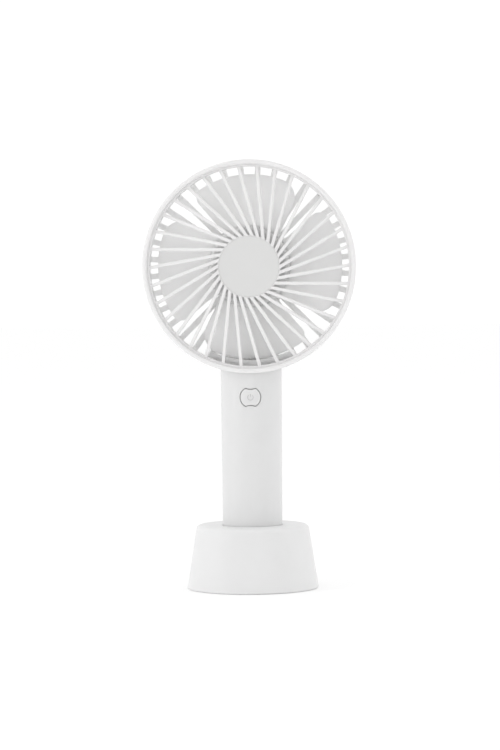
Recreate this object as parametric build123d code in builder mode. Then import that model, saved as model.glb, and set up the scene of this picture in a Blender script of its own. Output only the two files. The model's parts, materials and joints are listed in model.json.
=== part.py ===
from build123d import *

import os
from math import atan2, cos, degrees, radians, sin, tan

# A handheld electric fan standing in its conical desk stand. Millimetres, +Z up, the front faces -Y,
# and the origin is the bottom centre of the stand. Angles round the head are seen from the front,
# counter-clockwise from +X.

# Stand
STAND_HEIGHT = 31.0
STAND_BOTTOM_R = 32.15
STAND_TOP_R = 27.35
STAND_WALL = 1.8
STAND_ROOF = 2.0
STAND_LIFT = 0.15  # the shell's lower edge hangs this far above the table
WELL_R = 14.85
WELL_WALL = 1.5
WELL_FLOOR_Z = 4.5
FOOT_THICKNESS = 1.2
FLOOR_THICKNESS = 1.8
FLOOR_TOP_Z = FOOT_THICKNESS + FLOOR_THICKNESS
FLOOR_R = 29.6
BOSS_CIRCLE_R = 22.2
BOSS_R = 2.9
STAND_SCREW_R = 1.2
WEIGHT_INNER_R = 17.0
WEIGHT_OUTER_R = 27.2
WEIGHT_HEIGHT = 8.0

# Handle, a moulded tube that narrows a little towards its foot
HANDLE_FOOT_Z = 4.6
HANDLE_TUBE_Z = 6.2
HANDLE_TOP_Z = 109.0
HANDLE_FOOT_R = 14.45
HANDLE_TOP_R = 14.91
HANDLE_WALL = 1.7
NECK_SCREW_Z = 88.0

# Head
HEAD_Z = 157.1
RING_R = 51.6
RING_INNER_R = 48.1
BEAD_INNER_R = 49.25
RING_FRONT_Y = -18.3
LIP_FRONT_Y = -16.0
LIP_BACK_Y = -12.6
SEAM_Y = -6.0
SKIRT_WALL = 1.6

# Front grille
FRONT_RIB_COUNT = 34
FRONT_RIB_WIDTH = 1.6
FRONT_RIB_DEPTH = 2.4
FRONT_RIB_SWIRL_R = 7.95  # every rib's centre line touches a circle of this radius
FRONT_RIB_ANGLE = 9.76
DISC_R = 15.15
DISC_FRONT_Y = -19.5
DISC_BACK_Y = -16.6
INSERT_R = 14.65
INSERT_DEPTH = 0.8
DOME_EDGE_Y = -15.75
DOME_CROWN_Y = -19.6

# Rear grille, a dish with radial ribs
REAR_RIB_COUNT = 36
REAR_RIB_WIDTH = 2.8
REAR_RIB_ANGLE = 5.4
DISH_R = 51.4
DISH_WALL = 2.3
DISH_CORNER_Y = 12.6
DISH_CROWN_Y = 18.2
DISH_CORNER_RADIUS = 8.0
RIM_BACK_Y = 4.5
RIM_INNER_R = 49.7
LATCH_FRONT_Y = -9.5
REAR_HUB_R = 21.5
NECK_FIRST_RIB = 24
NECK_LAST_RIB = 29
NECK_WALL_R = 45.6
NECK_WALL = 1.6
NECK_WALL_FRONT_Y = -5.9
NECK_PLATE_FRONT_Y = -5.0
NECK_PLATE = 1.4
COLLAR_R = 52.0
COLLAR_HALF_WIDTH = 18.6
COLLAR_BACK_Y = 11.0
SPIGOT_BOTTOM_Z = 99.6
SPIGOT_WALL = 1.6
DUCT_X = 1.2
DUCT_WIDTH = 4.6
DUCT_WALL = 0.9
DUCT_FRONT_Y = 8.5

# Motor
MOTOR_R = 12.2
MOTOR_FRONT_Y = 2.6
MOTOR_SPLIT_Y = 15.0
MOTOR_BACK_Y = 16.2
CAN_WALL = 0.8
CUP_WALL = 1.6
CUP_FRONT_Y = 1.0
SHAFT_R = 1.0
SHAFT_CLEARANCE = 0.03
ROTOR_R = 9.3
ROTOR_POLES = 3
ROTOR_FRONT_Y = 4.8
ROTOR_BACK_Y = 10.2
MOTOR_SCREW_X = 8.0
TERMINAL_Z = HEAD_Z - 8.0
TERMINAL_SPACING = 3.0
REAR_CAP_R = 16.6
REAR_CAP_BACK_Y = 20.2

# Impeller
BLADE_COUNT = 4
BLADE_TIP_R = 44.9
BLADE_THICKNESS = 1.5
BLADE_TRAILING_Y = -9.0
BLADE_LEADING_Y = 4.5
TRAILING_ROOT_ANGLE = 44.2
TRAILING_TIP_ANGLE = 55.5
LEADING_ROOT_ANGLE = 127.8
LEADING_TIP_ANGLE = 129.4
TRAILING_CORNER_R = 9.5
LEADING_CORNER_R = 5.0
IMPELLER_HUB_R = 19.5
IMPELLER_HUB_WALL = 1.6
IMPELLER_HUB_FRONT_Y = -12.5
IMPELLER_HUB_BACK_Y = 5.0

# Button and switch
BUTTON_Z = 93.85
BUTTON_R = 4.9
BUTTON_HALF_HEIGHT = 3.75  # at the middle of the hollow top and bottom edges
BUTTON_BITE_R = 4.6
BUTTON_CORNER_R = 0.8
BUTTON_GAP = 0.3
BUTTON_PROUD = 0.15
BUTTON_FLANGE = 0.7
BUTTON_FLANGE_FRONT_Y = -11.3
BUTTON_BACK_Y = -10.75
SWITCH_SIZE = 6.0
SWITCH_FRONT_Y = -9.4
PLUNGER_R = 1.6

# Electronics in the handle
BATTERY_R = 9.1
BATTERY_BOTTOM_Z = 13.0
BATTERY_LENGTH = 65.0
BATTERY_Y = -3.2
BATTERY_TOP_Z = BATTERY_BOTTOM_Z + BATTERY_LENGTH
CRADLE_R = 12.5
CRADLE_END = 1.2
BOARD_FRONT_Y = -5.9
BOARD_THICKNESS = 1.6
BOARD_BACK_Y = BOARD_FRONT_Y + BOARD_THICKNESS
BOARD_WIDTH = 18.0
BOARD_BOTTOM_Z = 80.6
BOARD_TOP_Z = 104.0
BOARD_SCREW_X = 7.7
SOCKET_Z = 41.7
SOCKET_WIDTH = 8.94
SOCKET_HEIGHT = 3.2
SOCKET_WALL = 0.3
SOCKET_FRONT_Y = 7.9
SOCKET_BACK_Y = 14.2
SOCKET_GAP = 0.25
LEAD_R = 0.55

HEAD_AXIS = Axis((0, 0, HEAD_Z), (0, -1, 0))
HEAD_SECTION = Plane(origin=(0, 0, HEAD_Z), x_dir=(0, 1, 0), z_dir=(1, 0, 0))
THROUGH = 60.0


def front_plane(y, z=HEAD_Z):
    """A sketch plane at depth y, seen from the front: local x is +X and local y is +Z."""
    return Plane(origin=(0, y, z), x_dir=(1, 0, 0), z_dir=(0, -1, 0))


def back_plane(y, z):
    """A sketch plane at depth y, seen from behind."""
    return Plane(origin=(0, y, z), x_dir=(-1, 0, 0), z_dir=(0, 1, 0))


def polar(radius, angle):
    """The point at a radius and an angle in degrees."""
    return (radius * cos(radians(angle)), radius * sin(radians(angle)))


def round_corner(sketch, corner, radius):
    """Round the current sketch's corner that is nearest a point."""
    fillet(sketch.vertices().sort_by_distance(corner)[0], radius)


def profile(sketch, corners, mode=Mode.ADD):
    """A closed outline in the current sketch, from corners given as (x, y, rounding radius)."""
    with BuildLine() as outline:
        Polyline([(x, y) for x, y, rounding in corners], close=True)
    make_face(outline.edges(), mode=mode)
    for x, y, rounding in corners:
        if rounding:
            round_corner(sketch, (x, y), rounding)


def save(builder, name):
    """Label a finished piece and write it as its own STEP file."""
    builder.part.label = name
    export_step(builder.part, f"parts/{name}.step")


def cone_radius(z):
    """The stand's outer radius at height z."""
    return STAND_BOTTOM_R + (STAND_TOP_R - STAND_BOTTOM_R) * z / STAND_HEIGHT


def handle_radius(z):
    """The handle's outer radius at height z."""
    share = (z - HANDLE_TUBE_Z) / (HANDLE_TOP_Z - HANDLE_TUBE_Z)
    return HANDLE_FOOT_R + (HANDLE_TOP_R - HANDLE_FOOT_R) * share


def cross_head_screw(head_r, head_height, shank_r, length, countersunk):
    """A screw standing on its head at the origin, its shank up +Z, with a cross recess."""
    crown_r = shank_r if countersunk else head_r
    with BuildPart() as screw:
        with BuildSketch(Plane.XZ) as section:
            corners = [
                (0, 0, 0),
                (head_r, 0, 0),
                (crown_r, head_height, 0),
                (shank_r, head_height, 0),
                (shank_r, length - shank_r, 0),
                (shank_r / 4, length, 0),
                (0, length, 0),
            ]
            if countersunk:
                corners.pop(3)
            profile(section, corners)
        revolve(axis=Axis.Z)
        with BuildSketch(Plane.XY):
            Rectangle(head_r * 1.1, head_r * 0.26)
            Rectangle(head_r * 0.26, head_r * 1.1)
        extrude(amount=head_height * 0.5, mode=Mode.SUBTRACT)
    return screw.part


def bend_radii(points):
    """Bend radii for a lead, as large as the runs beside each corner allow."""
    vectors = [Vector(*point) for point in points]
    runs = [second - first for first, second in zip(vectors, vectors[1:])]
    radii = []
    for before, after in zip(runs, runs[1:]):
        half_turn = radians(before.get_angle(after)) / 2
        radii.append(0.45 * min(before.length, after.length) / tan(half_turn))
    return radii


def lead(points):
    """A round insulated wire along straight runs joined by arcs."""
    with BuildPart() as wire:
        with BuildLine() as route:
            FilletPolyline(*points, radius=bend_radii(points))
        with BuildSketch(Plane(origin=route.line @ 0, z_dir=route.line % 0)):
            Circle(LEAD_R)
        sweep(path=route.line)
    return wire.part


os.makedirs("parts", exist_ok=True)

# ---------------------------------------------------------------- stand

with BuildPart() as stand_shell:
    well_outer_r = WELL_R + WELL_WALL
    roof_z = STAND_HEIGHT - STAND_ROOF
    with BuildSketch(Plane.XZ) as section:
        profile(
            section,
            [
                (0, WELL_FLOOR_Z, 0),
                (0, FLOOR_TOP_Z, 0),
                (well_outer_r, FLOOR_TOP_Z, 0.3),
                (well_outer_r, roof_z, 1.0),
                (cone_radius(roof_z) - STAND_WALL, roof_z, 1.0),
                (cone_radius(STAND_LIFT) - STAND_WALL, STAND_LIFT, 0.3),
                (cone_radius(STAND_LIFT), STAND_LIFT, 0.4),
                (STAND_TOP_R, STAND_HEIGHT, 2.3),
                (WELL_R, STAND_HEIGHT, 0.4),
                (WELL_R, WELL_FLOOR_Z, 0.5),
            ],
        )
    revolve(axis=Axis.Z)
    with BuildSketch(Plane.XY.offset(FLOOR_TOP_Z)):
        with PolarLocations(BOSS_CIRCLE_R, 3, start_angle=90):
            Circle(BOSS_R)
    extrude(amount=roof_z - FLOOR_TOP_Z + 0.5)
    with BuildSketch(Plane.XY.offset(FLOOR_TOP_Z)):
        with PolarLocations(BOSS_CIRCLE_R, 3, start_angle=90):
            Circle(STAND_SCREW_R + 0.02)
    extrude(amount=12, mode=Mode.SUBTRACT)
save(stand_shell, "stand_shell")

with BuildPart() as stand_weight:
    with BuildSketch(Plane.XY.offset(FLOOR_TOP_Z)):
        Circle(WEIGHT_OUTER_R)
        Circle(WEIGHT_INNER_R, mode=Mode.SUBTRACT)
        with PolarLocations(BOSS_CIRCLE_R, 3, start_angle=90):
            Circle(BOSS_R + 0.3, mode=Mode.SUBTRACT)
    extrude(amount=WEIGHT_HEIGHT)
    chamfer(stand_weight.edges().group_by(Axis.Z)[-1], 0.4)
save(stand_weight, "stand_weight")

with BuildPart() as stand_floor:
    with BuildSketch(Plane.XY.offset(FOOT_THICKNESS)):
        Circle(FLOOR_R)
    extrude(amount=FLOOR_THICKNESS)
    with Locations(Plane(origin=(0, 0, FOOT_THICKNESS), x_dir=(1, 0, 0), z_dir=(0, 0, -1))):
        with PolarLocations(BOSS_CIRCLE_R, 3, start_angle=-90):
            CounterSinkHole(STAND_SCREW_R + 0.2, 2.6, counter_sink_angle=90)
save(stand_floor, "stand_floor")

with BuildPart() as stand_foot:
    with BuildSketch(Plane.XY):
        Circle(FLOOR_R - 0.7)
        Circle(WELL_R, mode=Mode.SUBTRACT)
    extrude(amount=FOOT_THICKNESS)
    fillet(stand_foot.edges().group_by(Axis.Z)[0], 0.3)
save(stand_foot, "stand_foot")

with BuildPart() as stand_screws:
    with Locations((0, 0, FOOT_THICKNESS + 0.1)):
        with PolarLocations(BOSS_CIRCLE_R, 3, start_angle=90):
            add(cross_head_screw(2.3, 1.1, STAND_SCREW_R, 11.5, countersunk=True))
save(stand_screws, "stand_screws")

# ---------------------------------------------------------------- handle


def button_outline(sketch, grow):
    """A round button with hollow top and bottom edges, grown all round by a distance."""
    Circle(BUTTON_R + grow)
    with GridLocations(0, 2 * (BUTTON_HALF_HEIGHT + BUTTON_BITE_R), 1, 2):
        Circle(BUTTON_BITE_R - grow, mode=Mode.SUBTRACT)
    fillet(sketch.vertices(), BUTTON_CORNER_R + grow)


with BuildPart() as handle_shell:
    with BuildSketch(Plane.XZ) as section:
        foot_inner_r = HANDLE_FOOT_R - HANDLE_WALL
        top_inner_r = HANDLE_TOP_R - HANDLE_WALL
        profile(
            section,
            [
                (foot_inner_r, HANDLE_TUBE_Z, 0),
                (HANDLE_FOOT_R, HANDLE_TUBE_Z, 0.2),
                (HANDLE_TOP_R, HANDLE_TOP_Z, 0),
                (top_inner_r, HANDLE_TOP_Z, 0),
            ],
        )
    revolve(axis=Axis.Z)
    with BuildSketch(front_plane(SEAM_Y)):
        Circle(RING_R + 0.1)
    extrude(amount=THROUGH, mode=Mode.SUBTRACT)
    with BuildSketch(front_plane(SEAM_Y)):
        Circle(COLLAR_R + 0.05)
    extrude(amount=-THROUGH, mode=Mode.SUBTRACT)
    with BuildSketch(front_plane(0, BUTTON_Z)) as opening:
        button_outline(opening, BUTTON_GAP)
    extrude(amount=THROUGH, mode=Mode.SUBTRACT)
    with BuildSketch(back_plane(0, SOCKET_Z)):
        SlotOverall(SOCKET_WIDTH + 2 * SOCKET_GAP, SOCKET_HEIGHT + 2 * SOCKET_GAP)
    extrude(amount=THROUGH, mode=Mode.SUBTRACT)
    with Locations(back_plane(handle_radius(NECK_SCREW_Z) - 0.2, NECK_SCREW_Z)):
        CounterSinkHole(1.4, 2.5, depth=4, counter_sink_angle=90)
save(handle_shell, "handle_shell")

with BuildPart() as handle_cap:
    spigot_r = HANDLE_FOOT_R - HANDLE_WALL - 0.05
    with BuildSketch(Plane.XZ) as section:
        profile(
            section,
            [
                (0, HANDLE_FOOT_Z, 0),
                (HANDLE_FOOT_R, HANDLE_FOOT_Z, 0.9),
                (HANDLE_FOOT_R, HANDLE_TUBE_Z, 0.2),
                (spigot_r, HANDLE_TUBE_Z, 0),
                (spigot_r, BATTERY_BOTTOM_Z - 2, 0.3),
                (spigot_r - 1.4, BATTERY_BOTTOM_Z - 2, 0),
                (spigot_r - 1.4, HANDLE_TUBE_Z + 0.2, 0.5),
                (0, HANDLE_TUBE_Z + 0.2, 0),
            ],
        )
    revolve(axis=Axis.Z)
save(handle_cap, "handle_cap")

# ---------------------------------------------------------------- battery and boards

SIDE_LEAD_X = -10.9
SIDE_LEAD_Y = -4.5
CHARGE_LEAD_X = 4.9
CHARGE_LEAD_Y = 7.2
TROUGH_INNER_R = BATTERY_R + 0.2
TROUGH_OUTER_R = BATTERY_R + 1.2
SHELF_TOP_Z = SOCKET_Z - SOCKET_HEIGHT / 2 - 1.0

with BuildPart() as battery_cradle:
    lower_end_z = BATTERY_BOTTOM_Z - 0.6
    upper_end_z = BATTERY_TOP_Z + 0.8
    for end_z in (lower_end_z - CRADLE_END, upper_end_z):
        with BuildSketch(Plane.XY.offset(end_z)):
            Circle(CRADLE_R)
            with Locations((SIDE_LEAD_X, SIDE_LEAD_Y)):
                Circle(LEAD_R * 2.4, mode=Mode.SUBTRACT)
            with Locations((CHARGE_LEAD_X, CHARGE_LEAD_Y), (-CHARGE_LEAD_X, CHARGE_LEAD_Y)):
                Circle(LEAD_R * 1.7, mode=Mode.SUBTRACT)
            with Locations((0, BATTERY_Y)):
                Circle(3, mode=Mode.SUBTRACT)
        extrude(amount=CRADLE_END)
    with BuildSketch(Plane.XY.offset(lower_end_z)):
        with Locations((0, BATTERY_Y)):
            Circle(TROUGH_OUTER_R)
            Circle(TROUGH_INNER_R, mode=Mode.SUBTRACT)
            with Locations((0, -TROUGH_OUTER_R)):
                Rectangle(4 * TROUGH_OUTER_R, 2.4 * TROUGH_OUTER_R, mode=Mode.SUBTRACT)
    extrude(amount=upper_end_z - lower_end_z)
    with BuildSketch(Plane.XY.offset(SHELF_TOP_Z - 1.4)):
        with Locations((0, 8.6)):
            Rectangle(9.6, 5.2)
        with Locations((0, BATTERY_Y)):
            Circle(TROUGH_INNER_R + 0.4, mode=Mode.SUBTRACT)
    extrude(amount=1.4)
    with BuildSketch(Plane.XY.offset(upper_end_z + CRADLE_END / 2)):
        with Locations((0, BOARD_BACK_Y + 1.6)):
            with GridLocations(2 * BOARD_SCREW_X, 0, 2, 1):
                Rectangle(2.6, 3.2)
    extrude(amount=BOARD_TOP_Z - 1 - upper_end_z)
    with BuildSketch(front_plane(BOARD_BACK_Y, (BOARD_BOTTOM_Z + BOARD_TOP_Z) / 2)):
        with GridLocations(2 * BOARD_SCREW_X, 16, 2, 2):
            Circle(0.72)
    extrude(amount=-2.6, mode=Mode.SUBTRACT)
save(battery_cradle, "battery_cradle")

with BuildPart() as battery_cell:
    with BuildSketch(Plane.XZ.offset(-BATTERY_Y)) as section:
        profile(
            section,
            [
                (0, BATTERY_BOTTOM_Z, 0),
                (BATTERY_R, BATTERY_BOTTOM_Z, 0.8),
                (BATTERY_R, BATTERY_TOP_Z - 1, 0.8),
                (2.8, BATTERY_TOP_Z - 1, 0),
                (2.8, BATTERY_TOP_Z, 0.3),
                (0, BATTERY_TOP_Z, 0),
            ],
        )
    revolve(axis=Axis((0, BATTERY_Y, 0), (0, 0, 1)))
save(battery_cell, "battery_cell")

with BuildPart() as battery_tabs:
    with BuildSketch(Plane.XY.offset(BATTERY_TOP_Z)):
        with Locations((2, BATTERY_Y)):
            Rectangle(8, 4)
    extrude(amount=0.2)
    with BuildSketch(Plane.XY.offset(BATTERY_BOTTOM_Z - 0.2)):
        with Locations((-4.4, SIDE_LEAD_Y)):
            Rectangle(13.6, 3)
    extrude(amount=0.2)
save(battery_tabs, "battery_tabs")

with BuildPart() as main_board:
    with BuildSketch(front_plane(BOARD_BACK_Y, (BOARD_BOTTOM_Z + BOARD_TOP_Z) / 2)):
        RectangleRounded(BOARD_WIDTH, BOARD_TOP_Z - BOARD_BOTTOM_Z, 1)
        with GridLocations(2 * BOARD_SCREW_X, 16, 2, 2):
            Circle(0.85, mode=Mode.SUBTRACT)
    extrude(amount=BOARD_THICKNESS)
save(main_board, "main_board")

with BuildPart() as board_screws:
    screw_plane = front_plane(BOARD_FRONT_Y - 0.7, (BOARD_BOTTOM_Z + BOARD_TOP_Z) / 2)
    with Locations(Plane(origin=screw_plane.origin, x_dir=(1, 0, 0), z_dir=(0, 1, 0))):
        with GridLocations(2 * BOARD_SCREW_X, 16, 2, 2):
            add(cross_head_screw(1.2, 0.7, 0.7, 4.4, countersunk=False))
save(board_screws, "board_screws")

with BuildPart() as switch_body:
    with BuildSketch(front_plane(BOARD_FRONT_Y, BUTTON_Z)):
        RectangleRounded(SWITCH_SIZE, SWITCH_SIZE, 0.4)
    extrude(amount=BOARD_FRONT_Y - SWITCH_FRONT_Y)
    with Locations(front_plane(SWITCH_FRONT_Y, BUTTON_Z)):
        Hole(PLUNGER_R + 0.1, depth=2.4)
save(switch_body, "switch_body")

with BuildPart() as switch_plunger:
    with BuildSketch(front_plane(SWITCH_FRONT_Y + 1.3, BUTTON_Z)):
        Circle(PLUNGER_R)
    extrude(amount=SWITCH_FRONT_Y + 1.3 - BUTTON_BACK_Y - 0.05)
    fillet(switch_plunger.edges().sort_by(Axis.Y)[0], 0.25)
save(switch_plunger, "switch_plunger")

with BuildPart() as power_button:
    with BuildSketch(front_plane(BUTTON_FLANGE_FRONT_Y, BUTTON_Z)) as cap:
        button_outline(cap, 0)
    extrude(amount=8)
    with BuildSketch(Plane.XY.offset(BUTTON_Z - 20)):
        Circle(handle_radius(BUTTON_Z) + BUTTON_PROUD)
    extrude(amount=40, mode=Mode.INTERSECT)
    fillet(power_button.faces().sort_by(Axis.Y)[0].edges(), 0.35)
    with BuildSketch(front_plane(BUTTON_BACK_Y, BUTTON_Z)) as flange:
        button_outline(flange, BUTTON_FLANGE)
    extrude(amount=BUTTON_BACK_Y - BUTTON_FLANGE_FRONT_Y)
save(power_button, "power_button")

with BuildPart() as charge_board:
    with BuildSketch(Plane.XY.offset(SHELF_TOP_Z)) as board_outline:
        with Locations((0, 9.0)):
            Rectangle(10.8, 5)
        fillet(board_outline.vertices().group_by(Axis.Y)[-1], 0.8)
        with Locations((0, BATTERY_Y)):
            Circle(TROUGH_OUTER_R + 0.1, mode=Mode.SUBTRACT)
    extrude(amount=1)
save(charge_board, "charge_board")

with BuildPart() as charge_socket:
    with BuildSketch(back_plane(SOCKET_FRONT_Y, SOCKET_Z)):
        SlotOverall(SOCKET_WIDTH, SOCKET_HEIGHT)
    extrude(amount=SOCKET_BACK_Y - SOCKET_FRONT_Y)
    with BuildSketch(back_plane(SOCKET_FRONT_Y + 0.5, SOCKET_Z)):
        SlotOverall(SOCKET_WIDTH - 2 * SOCKET_WALL, SOCKET_HEIGHT - 2 * SOCKET_WALL)
    extrude(amount=SOCKET_BACK_Y - SOCKET_FRONT_Y, mode=Mode.SUBTRACT)
save(charge_socket, "charge_socket")

with BuildPart() as charge_tongue:
    with BuildSketch(back_plane(SOCKET_FRONT_Y + 0.5, SOCKET_Z)):
        RectangleRounded(SOCKET_WIDTH - 2, 0.7, 0.3)
    extrude(amount=SOCKET_BACK_Y - SOCKET_FRONT_Y - 1.3)
save(charge_tongue, "charge_tongue")

# ---------------------------------------------------------------- head, front grille


def spaced(count, first):
    """Angles evenly spaced round the head."""
    return [first + index * 360 / count for index in range(count)]


def dome_y(radius):
    """Depth of the front grille's outer surface at a radius: a shallow paraboloid."""
    share = (radius**2 - DISC_R**2) / (BEAD_INNER_R**2 - DISC_R**2)
    return DOME_CROWN_Y + (DOME_EDGE_Y - DOME_CROWN_Y) * share


def dome_arc(y_shift):
    """The grille's surface in section, moved back by a distance, as an arc from disc to ring."""
    inner_r = DISC_R - 2
    radii = (inner_r, (inner_r + BEAD_INNER_R) / 2, BEAD_INNER_R)
    return ThreePointArc(*[(dome_y(radius) + y_shift, radius) for radius in radii])


def window_edges(face, inner_r, outer_r):
    """The edges of a pierced face of revolution that go round its windows, without its seam."""
    edges = []
    for edge in face.edges():
        middle = edge @ 0.5 - Vector(0, 0, HEAD_Z)
        radius = (middle.X**2 + middle.Z**2) ** 0.5
        if inner_r + 0.05 < radius < outer_r - 0.05 and abs(middle.X) > 0.001:
            edges.append(edge)
    return edges


with BuildPart() as front_grille:
    with BuildSketch(HEAD_SECTION) as section:
        with BuildLine():
            front_arc = dome_arc(0)
            back_arc = dome_arc(FRONT_RIB_DEPTH)
            Line(front_arc @ 0, back_arc @ 0)
            Line(front_arc @ 1, back_arc @ 1)
        make_face()
    revolve(axis=HEAD_AXIS)
    with BuildSketch(front_plane(0)) as windows:
        Circle(RING_INNER_R + 0.6)
        Circle(DISC_R - 0.8, mode=Mode.SUBTRACT)
        for angle in spaced(FRONT_RIB_COUNT, FRONT_RIB_ANGLE):
            with Locations(Rot(0, 0, angle) * Pos(RING_INNER_R / 2 + 4, -FRONT_RIB_SWIRL_R)):
                Rectangle(RING_INNER_R, FRONT_RIB_WIDTH, mode=Mode.SUBTRACT)
        fillet(windows.vertices(), 0.25)
    extrude(amount=THROUGH, mode=Mode.SUBTRACT)
    dome_face = front_grille.faces().filter_by(GeomType.REVOLUTION).sort_by(Axis.Y)[0]
    fillet(window_edges(dome_face, DISC_R, BEAD_INNER_R), 0.35)
    with BuildSketch(HEAD_SECTION) as section:
        profile(
            section,
            [
                (DISC_BACK_Y, 0, 0),
                (DISC_FRONT_Y, 0, 0),
                (DISC_FRONT_Y, DISC_R, 0.4),
                (DISC_BACK_Y, DISC_R, 0),
            ],
        )
    revolve(axis=HEAD_AXIS)
    with BuildSketch(front_plane(DISC_FRONT_Y + INSERT_DEPTH)):
        Circle(INSERT_R)
    extrude(amount=5, mode=Mode.SUBTRACT)
    with BuildSketch(HEAD_SECTION) as section:
        profile(
            section,
            [
                (RING_FRONT_Y, BEAD_INNER_R, 1.0),
                (RING_FRONT_Y, RING_R, 1.2),
                (SEAM_Y, RING_R, 0.25),
                (SEAM_Y, RING_R - SKIRT_WALL, 0),
                (LIP_BACK_Y, RING_R - SKIRT_WALL, 0.5),
                (LIP_BACK_Y, RING_INNER_R, 0.3),
                (LIP_FRONT_Y, RING_INNER_R, 0.4),
                (LIP_FRONT_Y, BEAD_INNER_R, 0),
            ],
        )
    revolve(axis=HEAD_AXIS)
save(front_grille, "front_grille")

with BuildPart() as hub_disc:
    with BuildSketch(front_plane(DISC_FRONT_Y + INSERT_DEPTH)):
        Circle(INSERT_R - 0.02)
    extrude(amount=INSERT_DEPTH - 0.15)
    chamfer(hub_disc.edges().sort_by(Axis.Y)[0], 0.08)
save(hub_disc, "hub_disc")

# ---------------------------------------------------------------- head, rear grille

NECK_FIRST_ANGLE = REAR_RIB_ANGLE + NECK_FIRST_RIB * 360 / REAR_RIB_COUNT
NECK_LAST_ANGLE = REAR_RIB_ANGLE + NECK_LAST_RIB * 360 / REAR_RIB_COUNT
CUP_R = MOTOR_R + 0.2
SPIGOT_R = HANDLE_TOP_R - HANDLE_WALL - 0.2


def sector(inner_r, outer_r, first_angle, last_angle, mode=Mode.ADD):
    """A ring sector in the current sketch, centred on its origin."""
    sweep_angle = last_angle - first_angle
    with BuildLine() as outline:
        Line(polar(inner_r, first_angle), polar(outer_r, first_angle))
        CenterArc((0, 0), outer_r, first_angle, sweep_angle)
        Line(polar(outer_r, last_angle), polar(inner_r, last_angle))
        CenterArc((0, 0), inner_r, last_angle, -sweep_angle)
    make_face(outline.edges(), mode=mode)


def dish_corners(inset, front_y):
    """The rear dish's outline in section, moved inwards by a distance and closed at a depth."""
    return [
        (front_y, 0, 0),
        (DISH_CROWN_Y - inset, 0, 0),
        (DISH_CORNER_Y - inset, DISH_R - inset, DISH_CORNER_RADIUS - inset),
        (front_y, DISH_R - inset, 0),
    ]


with BuildPart() as dish_solid:
    with BuildSketch(HEAD_SECTION) as section:
        profile(section, dish_corners(0.4, SEAM_Y))
    revolve(axis=HEAD_AXIS)

with BuildPart() as duct_walls:
    with BuildSketch(front_plane(DUCT_FRONT_Y)):
        with Locations((DUCT_X, -(CUP_R + NECK_WALL_R) / 2)):
            with GridLocations(DUCT_WIDTH + DUCT_WALL, 0, 2, 1):
                Rectangle(DUCT_WALL, NECK_WALL_R - CUP_R)
    extrude(amount=-THROUGH)
    add(dish_solid, mode=Mode.INTERSECT)

with BuildPart() as neck_wall:
    with BuildSketch(front_plane(NECK_WALL_FRONT_Y)):
        sector(NECK_WALL_R, NECK_WALL_R + NECK_WALL, NECK_FIRST_ANGLE, NECK_LAST_ANGLE)
        with Locations((DUCT_X, -NECK_WALL_R)):
            Rectangle(DUCT_WIDTH, 8, mode=Mode.SUBTRACT)
    extrude(amount=-THROUGH)
    with BuildSketch(front_plane(NECK_PLATE_FRONT_Y)):
        sector(NECK_WALL_R, RIM_INNER_R - 0.5, NECK_FIRST_ANGLE, NECK_LAST_ANGLE)
    extrude(amount=-NECK_PLATE)
    add(dish_solid, mode=Mode.INTERSECT)

with BuildPart() as neck_fairing:
    with BuildSketch(HEAD_SECTION) as section:
        profile(
            section,
            [
                (SEAM_Y, RIM_INNER_R, 0),
                (SEAM_Y, COLLAR_R, 0),
                (HANDLE_TOP_R, COLLAR_R, 0),
                (DISH_CORNER_Y + 1.6, DISH_R - 9.5, 0),
                (DISH_CORNER_Y - 1.0, DISH_R - 9.5, 0),
                (DISH_CORNER_Y - 4.0, RIM_INNER_R - 1.0, 0),
                (RIM_BACK_Y, RIM_INNER_R, 0),
            ],
        )
    revolve(axis=HEAD_AXIS)
    with BuildSketch(Plane.XY.offset(HEAD_Z - RING_R - 6)):
        Circle(HANDLE_TOP_R)
    extrude(amount=24, mode=Mode.INTERSECT)

with BuildPart() as latch_ring:
    with BuildSketch(HEAD_SECTION) as section:
        profile(
            section,
            [
                (LATCH_FRONT_Y, RIM_INNER_R - 0.9, 0.3),
                (LATCH_FRONT_Y, RING_R - SKIRT_WALL - 0.1, 0.2),
                (SEAM_Y + 0.5, RING_R - SKIRT_WALL - 0.1, 0),
                (SEAM_Y + 0.5, RIM_INNER_R - 0.9, 0.3),
            ],
        )
    revolve(axis=HEAD_AXIS)

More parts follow.
